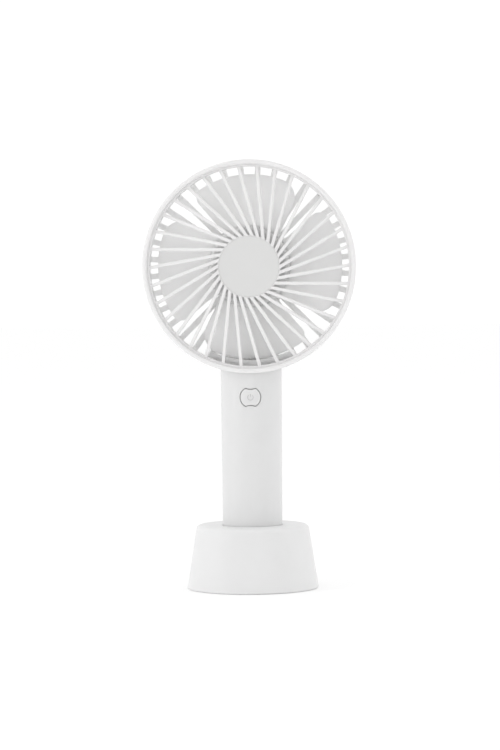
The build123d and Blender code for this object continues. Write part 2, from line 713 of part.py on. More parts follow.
with BuildPart() as rear_grille:
    with BuildSketch(HEAD_SECTION) as section:
        profile(section, dish_corners(0, RIM_BACK_Y - 1))
    revolve(axis=HEAD_AXIS)
    with BuildSketch(HEAD_SECTION) as section:
        profile(section, dish_corners(DISH_WALL, RIM_BACK_Y - 2))
    revolve(axis=HEAD_AXIS, mode=Mode.SUBTRACT)
    with BuildSketch(front_plane(RIM_BACK_Y)) as windows:
        Circle(DISH_R + 1)
        Circle(REAR_HUB_R, mode=Mode.SUBTRACT)
        for angle in spaced(REAR_RIB_COUNT, REAR_RIB_ANGLE):
            with Locations(Rot(0, 0, angle) * Pos(DISH_R / 2, 0)):
                Rectangle(DISH_R + 4, REAR_RIB_WIDTH, mode=Mode.SUBTRACT)
        with Locations((DUCT_X, -DISH_R / 2)):
            Rectangle(DUCT_WIDTH + 2 * DUCT_WALL, DISH_R, mode=Mode.SUBTRACT)
        sector(NECK_WALL_R, DISH_R + 2, NECK_FIRST_ANGLE, NECK_LAST_ANGLE, mode=Mode.SUBTRACT)
    extrude(amount=-THROUGH, mode=Mode.SUBTRACT)
    with BuildSketch(HEAD_SECTION) as section:
        profile(
            section,
            [
                (SEAM_Y, RIM_INNER_R - 0.9, 0.3),
                (SEAM_Y, DISH_R, 0.2),
                (RIM_BACK_Y, DISH_R, 0),
                (RIM_BACK_Y, RIM_INNER_R - 0.9, 0.3),
            ],
        )
    revolve(axis=HEAD_AXIS)
    with BuildSketch(front_plane(CUP_FRONT_Y)):
        Circle(CUP_R + CUP_WALL)
    extrude(amount=CUP_FRONT_Y - DISH_CROWN_Y + 1)
    add(duct_walls)
    add(neck_wall)
    add(neck_fairing)
    with BuildSketch(front_plane(SEAM_Y)):
        Circle(COLLAR_R)
        Circle(RIM_INNER_R, mode=Mode.SUBTRACT)
        with Locations((0, -COLLAR_R)):
            Rectangle(2 * COLLAR_HALF_WIDTH, 12, mode=Mode.INTERSECT)
    extrude(amount=SEAM_Y - COLLAR_BACK_Y)
    with BuildSketch(Plane.XY.offset(SPIGOT_BOTTOM_Z)):
        Circle(SPIGOT_R)
        Circle(SPIGOT_R - SPIGOT_WALL, mode=Mode.SUBTRACT)
    extrude(amount=HEAD_Z - RING_R - SPIGOT_BOTTOM_Z + 2.5)
    with BuildSketch(Plane.XY.offset(NECK_SCREW_Z - 4)):
        sector(SPIGOT_R - SPIGOT_WALL, SPIGOT_R, 50, 130)
    extrude(amount=SPIGOT_BOTTOM_Z - NECK_SCREW_Z + 5)
    with Locations(back_plane(SPIGOT_R, NECK_SCREW_Z)):
        Hole(1.02, depth=3)
    with BuildSketch(front_plane(SEAM_Y)):
        Circle(RING_R + 0.05)
    extrude(amount=THROUGH, mode=Mode.SUBTRACT)
    add(latch_ring)
    with BuildSketch(front_plane(MOTOR_FRONT_Y)):
        Circle(CUP_R)
    extrude(amount=-THROUGH, mode=Mode.SUBTRACT)
    with BuildSketch(front_plane(0)):
        Circle(4)
        with GridLocations(2 * MOTOR_SCREW_X, 0, 2, 1):
            Circle(1.1)
    extrude(amount=-8, mode=Mode.SUBTRACT)
    with BuildSketch(front_plane(DUCT_FRONT_Y)):
        with Locations((DUCT_X, -CUP_R - 1.2)):
            Rectangle(DUCT_WIDTH, 5.2)
    extrude(amount=-THROUGH, mode=Mode.SUBTRACT)
    with BuildSketch(Plane.XY.offset(HEAD_Z - COLLAR_R - 2)):
        with Locations((DUCT_X, 0)):
            RectangleRounded(9, 7, 1.5)
    extrude(amount=8, mode=Mode.SUBTRACT)
save(rear_grille, "rear_grille")

with BuildPart() as rear_cap:
    cap_front_y = DISH_CROWN_Y + 0.05
    plug_r = CUP_R - 0.05
    with BuildSketch(HEAD_SECTION) as section:
        profile(
            section,
            [
                (cap_front_y + 0.8, 0, 0),
                (REAR_CAP_BACK_Y, 0, 0),
                (REAR_CAP_BACK_Y - 0.7, REAR_CAP_R, 0.6),
                (cap_front_y, REAR_CAP_R, 0.1),
                (cap_front_y, plug_r, 0),
                (cap_front_y - 1.6, plug_r, 0.2),
                (cap_front_y - 1.6, plug_r - 1.2, 0.2),
                (cap_front_y + 0.8, plug_r - 1.2, 0.4),
            ],
        )
    revolve(axis=HEAD_AXIS)
    with BuildSketch(front_plane(cap_front_y)):
        with Locations((DUCT_X, -CUP_R)):
            Rectangle(DUCT_WIDTH, 5)
    extrude(amount=4, mode=Mode.SUBTRACT)
save(rear_cap, "rear_cap")

with BuildPart() as neck_screw:
    screw_y = handle_radius(NECK_SCREW_Z) - 0.25
    with Locations(Plane(origin=(0, screw_y, NECK_SCREW_Z), z_dir=(0, -1, 0))):
        add(cross_head_screw(2.3, 1.1, 1.0, 4.2, countersunk=True))
save(neck_screw, "neck_screw")

# ---------------------------------------------------------------- motor


def head_ring(front_y, back_y, inner_r, outer_r):
    """A plain ring about the head's axis, as one solid."""
    with BuildPart() as ring:
        with BuildSketch(front_plane(front_y)):
            Circle(outer_r)
            Circle(inner_r, mode=Mode.SUBTRACT)
        extrude(amount=front_y - back_y)
    return ring.part


BUSH_R = 3.0
BUSH_LENGTH = 2.4
BUSH_BORE_R = SHAFT_R + SHAFT_CLEARANCE
BUSH_FRONT_Y = MOTOR_FRONT_Y - 0.6
REAR_BUSH_FRONT_Y = MOTOR_BACK_Y - 0.3 - BUSH_LENGTH
COMMUTATOR_R = 2.4
COMMUTATOR_FRONT_Y = 11.2
COMMUTATOR_BACK_Y = 13.2
BRUSH_Y = (COMMUTATOR_FRONT_Y + COMMUTATOR_BACK_Y) / 2

with BuildPart() as motor_can:
    with BuildSketch(HEAD_SECTION) as section:
        profile(
            section,
            [
                (MOTOR_FRONT_Y, BUSH_R, 0),
                (MOTOR_FRONT_Y, MOTOR_R, 0.9),
                (MOTOR_SPLIT_Y, MOTOR_R, 0),
                (MOTOR_SPLIT_Y, MOTOR_R - CAN_WALL, 0),
                (MOTOR_FRONT_Y + CAN_WALL, MOTOR_R - CAN_WALL, 0.5),
                (MOTOR_FRONT_Y + CAN_WALL, BUSH_R, 0),
            ],
        )
    revolve(axis=HEAD_AXIS)
    with BuildSketch(front_plane(MOTOR_FRONT_Y)):
        with GridLocations(2 * MOTOR_SCREW_X, 0, 2, 1):
            Circle(0.97)
    extrude(amount=-2, mode=Mode.SUBTRACT)
save(motor_can, "motor_can")

with BuildPart() as motor_end_bell:
    inner_y = REAR_BUSH_FRONT_Y
    with BuildSketch(HEAD_SECTION) as section:
        profile(
            section,
            [
                (inner_y, BUSH_R, 0),
                (inner_y, MOTOR_R - CAN_WALL - 0.02, 0),
                (MOTOR_SPLIT_Y, MOTOR_R - CAN_WALL - 0.02, 0),
                (MOTOR_SPLIT_Y, MOTOR_R, 0),
                (MOTOR_BACK_Y, MOTOR_R, 0.4),
                (MOTOR_BACK_Y, BUSH_R, 0),
            ],
        )
    revolve(axis=HEAD_AXIS)
    with BuildSketch(front_plane(0, TERMINAL_Z)):
        with Locations((DUCT_X, 0)):
            with GridLocations(TERMINAL_SPACING, 0, 2, 1):
                Rectangle(1.3, 0.6)
    extrude(amount=-THROUGH, mode=Mode.SUBTRACT)
save(motor_end_bell, "motor_end_bell")

with BuildPart() as motor_bushings:
    add(head_ring(BUSH_FRONT_Y, BUSH_FRONT_Y + BUSH_LENGTH, BUSH_BORE_R, BUSH_R))
    add(head_ring(REAR_BUSH_FRONT_Y, REAR_BUSH_FRONT_Y + BUSH_LENGTH, BUSH_BORE_R, BUSH_R))
save(motor_bushings, "motor_bushings")

with BuildPart() as motor_magnets:
    with BuildSketch(front_plane(ROTOR_FRONT_Y - 0.6)):
        for first_angle in (20, 200):
            sector(ROTOR_R + 0.35, MOTOR_R - CAN_WALL - 0.02, first_angle, first_angle + 140)
    extrude(amount=ROTOR_FRONT_Y - ROTOR_BACK_Y - 1.2)
save(motor_magnets, "motor_magnets")

with BuildPart() as motor_brushes:
    with BuildSketch(front_plane(BRUSH_Y + 0.5)):
        with Locations((COMMUTATOR_R + 0.9, 0), (-COMMUTATOR_R - 0.9, 0)):
            Rectangle(1.6, 1.4)
    extrude(amount=1.0)
save(motor_brushes, "motor_brushes")

with BuildPart() as motor_terminals:
    with BuildSketch(front_plane(REAR_BUSH_FRONT_Y, TERMINAL_Z)):
        with Locations((DUCT_X, 0)):
            with GridLocations(TERMINAL_SPACING, 0, 2, 1):
                Rectangle(1.2, 0.5)
    extrude(amount=REAR_BUSH_FRONT_Y - MOTOR_BACK_Y - 0.9)
save(motor_terminals, "motor_terminals")

with BuildPart() as motor_screws:
    with Locations(Plane(origin=(0, CUP_FRONT_Y - 1.1, HEAD_Z), x_dir=(1, 0, 0), z_dir=(0, 1, 0))):
        with GridLocations(2 * MOTOR_SCREW_X, 0, 2, 1):
            add(cross_head_screw(1.8, 1.1, 0.95, 3.6, countersunk=False))
save(motor_screws, "motor_screws")

with BuildPart() as motor_shaft:
    with BuildSketch(front_plane(IMPELLER_HUB_FRONT_Y + 1.2)):
        Circle(SHAFT_R)
    extrude(amount=IMPELLER_HUB_FRONT_Y + 1.2 - REAR_BUSH_FRONT_Y - 2.2)
    chamfer(motor_shaft.edges().filter_by(GeomType.CIRCLE), 0.15)
save(motor_shaft, "motor_shaft")

ARM_WIDTH = 2.6
SHOE_INNER_R = 8.0
CORE_R = 3.2

with BuildPart() as motor_core:
    with BuildSketch(front_plane(ROTOR_FRONT_Y)):
        Circle(CORE_R)
        for angle in spaced(ROTOR_POLES, 90):
            with Locations(Rot(0, 0, angle) * Pos(SHOE_INNER_R / 2 + 0.3, 0)):
                Rectangle(SHOE_INNER_R + 0.6, ARM_WIDTH)
            sector(SHOE_INNER_R, ROTOR_R, angle - 50, angle + 50)
        Circle(SHAFT_R, mode=Mode.SUBTRACT)
    extrude(amount=ROTOR_FRONT_Y - ROTOR_BACK_Y)
save(motor_core, "motor_core")

with BuildPart() as motor_windings:
    coil_length = ROTOR_BACK_Y - ROTOR_FRONT_Y
    for angle in spaced(ROTOR_POLES, 90):
        across, up = polar(CORE_R + 0.9, angle)
        outward = polar(1, angle)
        arm_plane = Plane(
            origin=(across, (ROTOR_FRONT_Y + ROTOR_BACK_Y) / 2, HEAD_Z + up),
            x_dir=(0, 1, 0),
            z_dir=(outward[0], 0, outward[1]),
        )
        with BuildSketch(arm_plane):
            RectangleRounded(coil_length + 1.8, ARM_WIDTH + 2.2, 1.0)
            Rectangle(coil_length + 0.02, ARM_WIDTH + 0.02, mode=Mode.SUBTRACT)
        extrude(amount=SHOE_INNER_R - CORE_R - 1.5)
save(motor_windings, "motor_windings")

with BuildPart() as motor_commutator:
    add(head_ring(COMMUTATOR_FRONT_Y, COMMUTATOR_BACK_Y, SHAFT_R, COMMUTATOR_R))
    with BuildSketch(front_plane(COMMUTATOR_FRONT_Y)):
        for angle in spaced(ROTOR_POLES, 30):
            with Locations(Rot(0, 0, angle) * Pos(COMMUTATOR_R, 0)):
                Rectangle(0.7, 0.3)
    extrude(amount=-THROUGH, mode=Mode.SUBTRACT)
save(motor_commutator, "motor_commutator")

# ---------------------------------------------------------------- impeller

BLADE_SECTIONS = (11.0, 23.0, 35.0, 48.0)
PITCH_PER_DEGREE = (BLADE_LEADING_Y - BLADE_TRAILING_Y) / (LEADING_ROOT_ANGLE - TRAILING_ROOT_ANGLE)


def blade_depth(x, distance):
    """Depth of the helical blade's middle surface at a point x across and a distance up."""
    angle = degrees(atan2(distance, x))
    return BLADE_TRAILING_Y + PITCH_PER_DEGREE * (angle - TRAILING_ROOT_ANGLE)


with BuildPart() as blade:
    for distance in BLADE_SECTIONS:
        reach = 9 + 0.62 * distance
        stations = [reach * share for share in (-1, -0.5, 0, 0.5, 1)]
        with BuildSketch(Plane.XY.offset(HEAD_Z + distance)):
            with BuildLine():
                half = BLADE_THICKNESS / 2
                near = Spline(*[(x, blade_depth(x, distance) - half) for x in stations])
                far = Spline(*[(x, blade_depth(x, distance) + half) for x in stations])
                Line(near @ 0, far @ 0)
                Line(near @ 1, far @ 1)
            make_face()
    loft()
    with BuildSketch(front_plane(-20)) as planform:
        root_r = IMPELLER_HUB_R - IMPELLER_HUB_WALL / 2
        with BuildLine():
            Line(polar(root_r, TRAILING_ROOT_ANGLE), polar(BLADE_TIP_R, TRAILING_TIP_ANGLE))
            CenterArc((0, 0), BLADE_TIP_R, TRAILING_TIP_ANGLE, LEADING_TIP_ANGLE - TRAILING_TIP_ANGLE)
            Line(polar(BLADE_TIP_R, LEADING_TIP_ANGLE), polar(root_r, LEADING_ROOT_ANGLE))
            CenterArc((0, 0), root_r, LEADING_ROOT_ANGLE, TRAILING_ROOT_ANGLE - LEADING_ROOT_ANGLE)
        make_face()
        round_corner(planform, polar(BLADE_TIP_R, TRAILING_TIP_ANGLE), TRAILING_CORNER_R)
        round_corner(planform, polar(BLADE_TIP_R, LEADING_TIP_ANGLE), LEADING_CORNER_R)
    extrude(amount=-THROUGH, mode=Mode.INTERSECT)

with BuildPart() as impeller:
    with BuildSketch(HEAD_SECTION) as section:
        boss_r = SHAFT_R + 2.2
        inner_y = IMPELLER_HUB_FRONT_Y + IMPELLER_HUB_WALL
        profile(
            section,
            [
                (IMPELLER_HUB_FRONT_Y, 0, 0),
                (IMPELLER_HUB_FRONT_Y, IMPELLER_HUB_R, 2.2),
                (IMPELLER_HUB_BACK_Y, IMPELLER_HUB_R, 0.4),
                (IMPELLER_HUB_BACK_Y, IMPELLER_HUB_R - IMPELLER_HUB_WALL, 0.4),
                (inner_y, IMPELLER_HUB_R - IMPELLER_HUB_WALL, 1.0),
                (inner_y, boss_r, 0.5),
                (-1.0, boss_r, 0.3),
                (-1.0, SHAFT_R, 0),
                (IMPELLER_HUB_FRONT_Y + 1.2, SHAFT_R, 0),
                (IMPELLER_HUB_FRONT_Y + 1.2, 0, 0),
            ],
        )
    revolve(axis=HEAD_AXIS)
    for angle in spaced(BLADE_COUNT, 0):
        add(blade.part.rotate(HEAD_AXIS, angle))
save(impeller, "impeller")

# ---------------------------------------------------------------- leads

LEAD_BACK_Y = MOTOR_BACK_Y + 0.9 + LEAD_R + 0.02

with BuildPart() as motor_leads:
    for side in (-1, 1):
        x = DUCT_X + side * TERMINAL_SPACING / 2
        route = [
            (x, LEAD_BACK_Y, TERMINAL_Z + 0.6),
            (x, LEAD_BACK_Y, TERMINAL_Z - 6.0),
            (x, 13.3, HEAD_Z - 15.2),
            (x, 11.6, HEAD_Z - 30),
            (x, 10.0, HEAD_Z - 42),
            (x, 1.8, HEAD_Z - 49),
            (x, 0.2, HEAD_Z - 57),
            (x, -0.6, HEAD_Z - 62),
            (x, BOARD_BACK_Y, HEAD_Z - 62),
        ]
        add(lead(route))
save(motor_leads, "motor_leads")

with BuildPart() as battery_leads:
    top_route = [
        (1.6, -2.2, BATTERY_TOP_Z + 0.35),
        (1.6, -1.2, BATTERY_TOP_Z + 5),
        (1.6, -1.5, BATTERY_TOP_Z + 9),
        (1.6, BOARD_BACK_Y + 0.03, BATTERY_TOP_Z + 9),
    ]
    bottom_route = [
        (SIDE_LEAD_X, SIDE_LEAD_Y, BATTERY_BOTTOM_Z),
        (SIDE_LEAD_X, SIDE_LEAD_Y, BATTERY_TOP_Z + 4),
        (SIDE_LEAD_X + 1.3, 1.4, BATTERY_TOP_Z + 8),
        (-4.2, 1.2, BATTERY_TOP_Z + 12),
        (-3.6, BOARD_BACK_Y + 0.05, BATTERY_TOP_Z + 12),
    ]
    add(lead(top_route))
    add(lead(bottom_route))
save(battery_leads, "battery_leads")

with BuildPart() as charge_leads:
    for side in (-1, 1):
        x = side * CHARGE_LEAD_X
        route = [
            (x, CHARGE_LEAD_Y, SHELF_TOP_Z + 1),
            (x, CHARGE_LEAD_Y, BATTERY_TOP_Z + 3),
            (x, 3.0, BATTERY_TOP_Z + 5.6),
            (x, BOARD_BACK_Y, BATTERY_TOP_Z + 5.6),
        ]
        add(lead(route))
save(charge_leads, "charge_leads")
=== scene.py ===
import json
from math import atan2, cos, pi, radians, sin, sqrt, tan

import bmesh
import bpy
from mathutils import Matrix, Vector


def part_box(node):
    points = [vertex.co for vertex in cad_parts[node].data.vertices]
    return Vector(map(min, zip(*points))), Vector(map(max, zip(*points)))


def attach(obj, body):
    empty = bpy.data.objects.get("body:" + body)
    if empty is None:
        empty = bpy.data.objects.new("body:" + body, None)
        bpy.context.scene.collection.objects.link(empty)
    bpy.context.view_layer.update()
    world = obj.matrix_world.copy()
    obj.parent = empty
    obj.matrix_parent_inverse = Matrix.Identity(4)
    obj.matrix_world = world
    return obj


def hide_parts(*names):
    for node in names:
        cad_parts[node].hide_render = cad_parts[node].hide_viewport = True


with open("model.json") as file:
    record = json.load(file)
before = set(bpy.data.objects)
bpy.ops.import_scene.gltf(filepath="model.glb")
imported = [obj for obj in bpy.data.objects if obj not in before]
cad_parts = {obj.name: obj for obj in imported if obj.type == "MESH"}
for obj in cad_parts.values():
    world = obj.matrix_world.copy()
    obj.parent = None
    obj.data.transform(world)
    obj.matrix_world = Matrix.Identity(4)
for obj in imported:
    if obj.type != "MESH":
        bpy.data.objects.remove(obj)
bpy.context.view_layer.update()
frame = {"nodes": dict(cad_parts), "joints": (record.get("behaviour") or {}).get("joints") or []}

MM = 0.001
NODES = frame["nodes"]
JOINTS = {joint["name"]: joint for joint in frame["joints"]}
HEAD_Z = JOINTS["impeller_spin"]["pos_m"][2]


# ---------------------------------------------------------------- camera

CAMERA_DISTANCE = 1.40
CAMERA_HEIGHT = 0.158
CAMERA_AZIMUTH = 2.0  # degrees, towards +X
CAMERA_ROLL = 0.55  # degrees
CAMERA_SIGHT = 100
VIEW_HEIGHT = 0.3663  # of the frame, measured where the fan stands
AIM = Vector((-0.0006, 0, 0.1041))
SENSOR = 0.036


def make_camera():
    data = bpy.data.cameras.new("camera")
    data.sensor_width = SENSOR * 1000
    camera = bpy.data.objects.new("camera", data)
    bpy.context.collection.objects.link(camera)
    turn = radians(CAMERA_AZIMUTH)
    camera.location = (
        CAMERA_DISTANCE * sin(turn),
        -CAMERA_DISTANCE * cos(turn),
        CAMERA_HEIGHT,
    )
    gaze = AIM - camera.location
    data.lens = SENSOR * 1000 * gaze.length / VIEW_HEIGHT
    level = gaze.to_track_quat("-Z", "Y").to_matrix()
    roll = Matrix.Rotation(radians(-CAMERA_ROLL), 3, "Z")
    camera.rotation_euler = (level @ roll).to_euler()
    data.clip_end = CAMERA_SIGHT
    bpy.context.scene.camera = camera


# ---------------------------------------------------------------- stage and light

WHITE = (1, 1, 1, 1)
FLOOR_SIZE = 12.0
TABLE_WHITE = (0.95, 0.95, 0.95, 1)
TABLE_ROUGH = 0.9
TABLE_GLOW = 0.082


def add_nodes(tree, **kinds):
    """New shader nodes, by the names they are given here."""
    made = {}
    for name, kind in kinds.items():
        made[name] = tree.nodes.new(kind)
    return made


def make_floor():
    mesh = bpy.data.meshes.new("floor")
    half = FLOOR_SIZE / 2
    corners = [(-half, -half, 0), (half, -half, 0), (half, half, 0), (-half, half, 0)]
    mesh.from_pydata(corners, [], [(0, 1, 2, 3)])
    floor = bpy.data.objects.new("floor", mesh)
    bpy.context.collection.objects.link(floor)
    material = bpy.data.materials.new("floor_white")
    material.use_nodes = True
    shader = material.node_tree.nodes["Principled BSDF"]
    shader.inputs["Base Color"].default_value = TABLE_WHITE
    shader.inputs["Roughness"].default_value = TABLE_ROUGH
    shader.inputs["Specular IOR Level"].default_value = 0.0
    shader.inputs["Emission Color"].default_value = WHITE
    shader.inputs["Emission Strength"].default_value = TABLE_GLOW
    mesh.materials.append(material)


LIT_POINT = Vector((0, 0, 0.12))
SOFT_BOXES = (  # place, size and watts
    ("left_box", (-1.25, -0.7, 0.35), (0.5, 1.2), 3.8),
    ("right_box", (1.3, -0.3, 0.5), (0.5, 1.4), 1.5),
    ("front_box", (-0.2, -2.0, 0.15), (1.2, 0.28), 1.55),
)
BLADE_BOX = ("blade_box", (0, 1.5, 0.3), (2.0, 1.5), 11.5)


def soft_box(name, place, size, power, only=None):
    """An area light turned to the fan's middle. It lights everything, or only one piece."""
    data = bpy.data.lights.new(name, "AREA")
    data.shape = "RECTANGLE"
    data.size, data.size_y = size
    data.energy = power
    light = bpy.data.objects.new(name, data)
    light.location = place
    light.rotation_euler = (LIT_POINT - Vector(place)).to_track_quat("-Z", "Y").to_euler()
    bpy.context.collection.objects.link(light)
    if only:
        lit = bpy.data.collections.new(name + "_lights")
        lit.objects.link(only)
        light.light_linking.receiver_collection = lit


SKY_FRONT = 0.665  # light that comes level from the front
SKY_BACK = 1.25  # level from the white wall behind
SKY_TOP = 0.97
SKY_SEEN = 1.05  # what the camera sees of it
SKY_TURN = (-0.5, 0.7)  # the direction's Y, from the front's light to the back's
SKY_CLIMB = (0.0, 0.7)  # the direction's Z, from level light to light from above


def make_light(impeller):
    """A white sky, brighter behind and overhead, with soft boxes round the fan.

    The last one stands behind and shines through the blades.
    """
    world = bpy.data.worlds.new("studio")
    world.use_nodes = True
    bpy.context.scene.world = world
    tree = world.node_tree
    tree.nodes.clear()
    made = add_nodes(
        tree,
        place="ShaderNodeTexCoord",
        parts="ShaderNodeSeparateXYZ",
        level="ShaderNodeMapRange",
        height="ShaderNodeMapRange",
        light="ShaderNodeBackground",
        seen="ShaderNodeBackground",
        path="ShaderNodeLightPath",
        mix="ShaderNodeMixShader",
        out="ShaderNodeOutputWorld",
    )
    level, height = made["level"], made["height"]
    level.interpolation_type = "SMOOTHSTEP"
    level.inputs["From Min"].default_value, level.inputs["From Max"].default_value = SKY_TURN
    level.inputs["To Min"].default_value = SKY_FRONT
    level.inputs["To Max"].default_value = SKY_BACK
    height.interpolation_type = "SMOOTHSTEP"
    height.inputs["From Min"].default_value, height.inputs["From Max"].default_value = SKY_CLIMB
    height.inputs["To Max"].default_value = SKY_TOP
    for shade in (made["light"], made["seen"]):
        shade.inputs["Color"].default_value = WHITE
    made["seen"].inputs["Strength"].default_value = SKY_SEEN
    link = tree.links.new
    link(made["place"].outputs["Generated"], made["parts"].inputs[0])
    link(made["parts"].outputs["Y"], level.inputs["Value"])
    link(level.outputs["Result"], height.inputs["To Min"])
    link(made["parts"].outputs["Z"], height.inputs["Value"])
    link(height.outputs["Result"], made["light"].inputs["Strength"])
    link(made["path"].outputs["Is Camera Ray"], made["mix"].inputs[0])
    link(made["light"].outputs[0], made["mix"].inputs[1])
    link(made["seen"].outputs[0], made["mix"].inputs[2])
    link(made["mix"].outputs[0], made["out"].inputs[0])
    for box in SOFT_BOXES:
        soft_box(*box)
    soft_box(*BLADE_BOX, only=impeller)
    bpy.context.scene.view_settings.view_transform = "Standard"


# ---------------------------------------------------------------- materials

RAMP_SPAN = (0.3, 0.7)  # where a noise's factor changes the colour
PLASTIC_IOR = 1.49
PLASTIC_GLOSS_SPREAD = 0.06
OTHER_GLOSS_SPREAD = 0.08
MOTTLE_SCALE = 80  # noise features per metre, as in all the scales here
MOTTLE_DETAIL = 4
STREAK_STRETCH = 12
STREAK_DEPTH = 0.004 * MM
METAL_DARKEST = 0.88
RUBBER_CELL_SCALE = 1800
RUBBER_CELL_DEPTH = 0.05 * MM
RUBBER_PATCH_SCALE = 150
RUBBER_ROUGH = 0.8
RUBBER_DARKEST = 0.85
BOARD_RUN_SCALE = 300
BOARD_RUN_DEPTH = 0.02 * MM
BOARD_ROUGH = 0.3
BOARD_PALEST = 1.6
BOARD_RUN_GREYS = {"Color1": 0.35, "Color2": 0.5, "Mortar": 0.65}


def new_material(name, **kinds):
    """A material, its tree, its shader and new nodes by the names given.

    The texture nodes among them read object coordinates.
    """
    material = bpy.data.materials.new(name)
    material.use_nodes = True
    tree = material.node_tree
    made = add_nodes(tree, place="ShaderNodeTexCoord", **kinds)
    for node in made.values():
        if "Vector" in node.inputs and node.bl_idname.startswith("ShaderNodeTex"):
            tree.links.new(made["place"].outputs["Object"], node.inputs["Vector"])
    return material, tree, tree.nodes["Principled BSDF"], made


def colour_between(tree, shader, factor, first, second):
    """The shader's colour runs from one shade to another as a factor crosses the ramp's span."""
    ramp = tree.nodes.new("ShaderNodeValToRGB")
    start, end = ramp.color_ramp.elements
    start.position, end.position = RAMP_SPAN
    start.color, end.color = (*first, 1), (*second, 1)
    tree.links.new(factor, ramp.inputs["Fac"])
    tree.links.new(ramp.outputs["Color"], shader.inputs["Base Color"])


def uneven_gloss(tree, shader, factor, rough, spread):
    gloss = tree.nodes.new("ShaderNodeMapRange")
    gloss.inputs["To Min"].default_value = rough - spread
    gloss.inputs["To Max"].default_value = rough + spread
    tree.links.new(factor, gloss.inputs["Value"])
    tree.links.new(gloss.outputs["Result"], shader.inputs["Roughness"])


def relief(tree, shader, height, depth):
    bump = tree.nodes.new("ShaderNodeBump")
    bump.inputs["Distance"].default_value = depth
    tree.links.new(height, bump.inputs["Height"])
    tree.links.new(bump.outputs["Normal"], shader.inputs["Normal"])


def moulded_plastic(
    name,
    shade,
    rough=0.42,
    grain=0.3 * MM,
    depth=0.006 * MM,
    mottle=0.012,
    glow=0.0,
    reach=1 * MM,
    specular=0.35,
):
    """Moulded plastic: a fine spark-eroded grain, slightly uneven gloss and a faint mottle.

    glow is how much of its light travels inside it, and reach how far.
    """
    kinds = {"fine": "ShaderNodeTexNoise", "broad": "ShaderNodeTexNoise"}
    material, tree, shader, made = new_material(name, **kinds)
    made["fine"].inputs["Scale"].default_value = 1 / grain
    made["broad"].inputs["Scale"].default_value = MOTTLE_SCALE
    made["broad"].inputs["Detail"].default_value = MOTTLE_DETAIL
    paler = [min(part * (1 + mottle), 1) for part in shade]
    darker = [part * (1 - mottle) for part in shade]
    colour_between(tree, shader, made["broad"].outputs["Fac"], darker, paler)
    uneven_gloss(tree, shader, made["broad"].outputs["Fac"], rough, PLASTIC_GLOSS_SPREAD)
    relief(tree, shader, made["fine"].outputs["Fac"], depth)
    shader.inputs["IOR"].default_value = PLASTIC_IOR
    shader.inputs["Specular IOR Level"].default_value = specular
    if glow:
        shader.inputs["Subsurface Weight"].default_value = glow
        shader.inputs["Subsurface Radius"].default_value = (1, 1, 1)
        shader.inputs["Subsurface Scale"].default_value = reach
    return material


def worked_metal(name, shade, rough, streak):
    """Plated or drawn metal with fine streaks along X and a slightly uneven gloss."""
    kinds = {"streaks": "ShaderNodeTexNoise", "scale": "ShaderNodeMapping"}
    material, tree, shader, made = new_material(name, **kinds)
    tree.links.new(made["place"].outputs["Object"], made["scale"].inputs["Vector"])
    tree.links.new(made["scale"].outputs["Vector"], made["streaks"].inputs["Vector"])
    made["scale"].inputs["Scale"].default_value = (streak / STREAK_STRETCH, streak, streak)
    made["streaks"].inputs["Scale"].default_value = 1
    darker = [part * METAL_DARKEST for part in shade]
    colour_between(tree, shader, made["streaks"].outputs["Fac"], darker, shade)
    uneven_gloss(tree, shader, made["streaks"].outputs["Fac"], rough, OTHER_GLOSS_SPREAD)
    relief(tree, shader, made["streaks"].outputs["Fac"], STREAK_DEPTH)
    shader.inputs["Metallic"].default_value = 1.0
    return material


def foam_rubber(name, shade):
    """Closed-cell rubber with small pits."""
    kinds = {"cells": "ShaderNodeTexVoronoi", "broad": "ShaderNodeTexNoise"}
    material, tree, shader, made = new_material(name, **kinds)
    made["cells"].inputs["Scale"].default_value = RUBBER_CELL_SCALE
    made["broad"].inputs["Scale"].default_value = RUBBER_PATCH_SCALE
    darker = [part * RUBBER_DARKEST for part in shade]
    colour_between(tree, shader, made["broad"].outputs["Fac"], darker, shade)
    uneven_gloss(tree, shader, made["broad"].outputs["Fac"], RUBBER_ROUGH, OTHER_GLOSS_SPREAD)
    relief(tree, shader, made["cells"].outputs["Distance"], RUBBER_CELL_DEPTH)
    return material


def solder_mask(name, shade):
    """A circuit board: copper runs show faintly through the green mask."""
    kinds = {"runs": "ShaderNodeTexBrick", "broad": "ShaderNodeTexNoise"}
    material, tree, shader, made = new_material(name, **kinds)
    made["runs"].inputs["Scale"].default_value = BOARD_RUN_SCALE
    for part, grey in BOARD_RUN_GREYS.items():
        made["runs"].inputs[part].default_value = (grey, grey, grey, 1)
    paler = [part * BOARD_PALEST for part in shade]
    colour_between(tree, shader, made["runs"].outputs["Color"], shade, paler)
    uneven_gloss(tree, shader, made["broad"].outputs["Fac"], BOARD_ROUGH, OTHER_GLOSS_SPREAD)
    relief(tree, shader, made["runs"].outputs["Color"], BOARD_RUN_DEPTH)
    return material


def paint(material, *names):
    """Gives CAD nodes their material."""
    for name in names:
        for slot in NODES[name].material_slots:
            slot.link = "OBJECT"
            slot.material = material


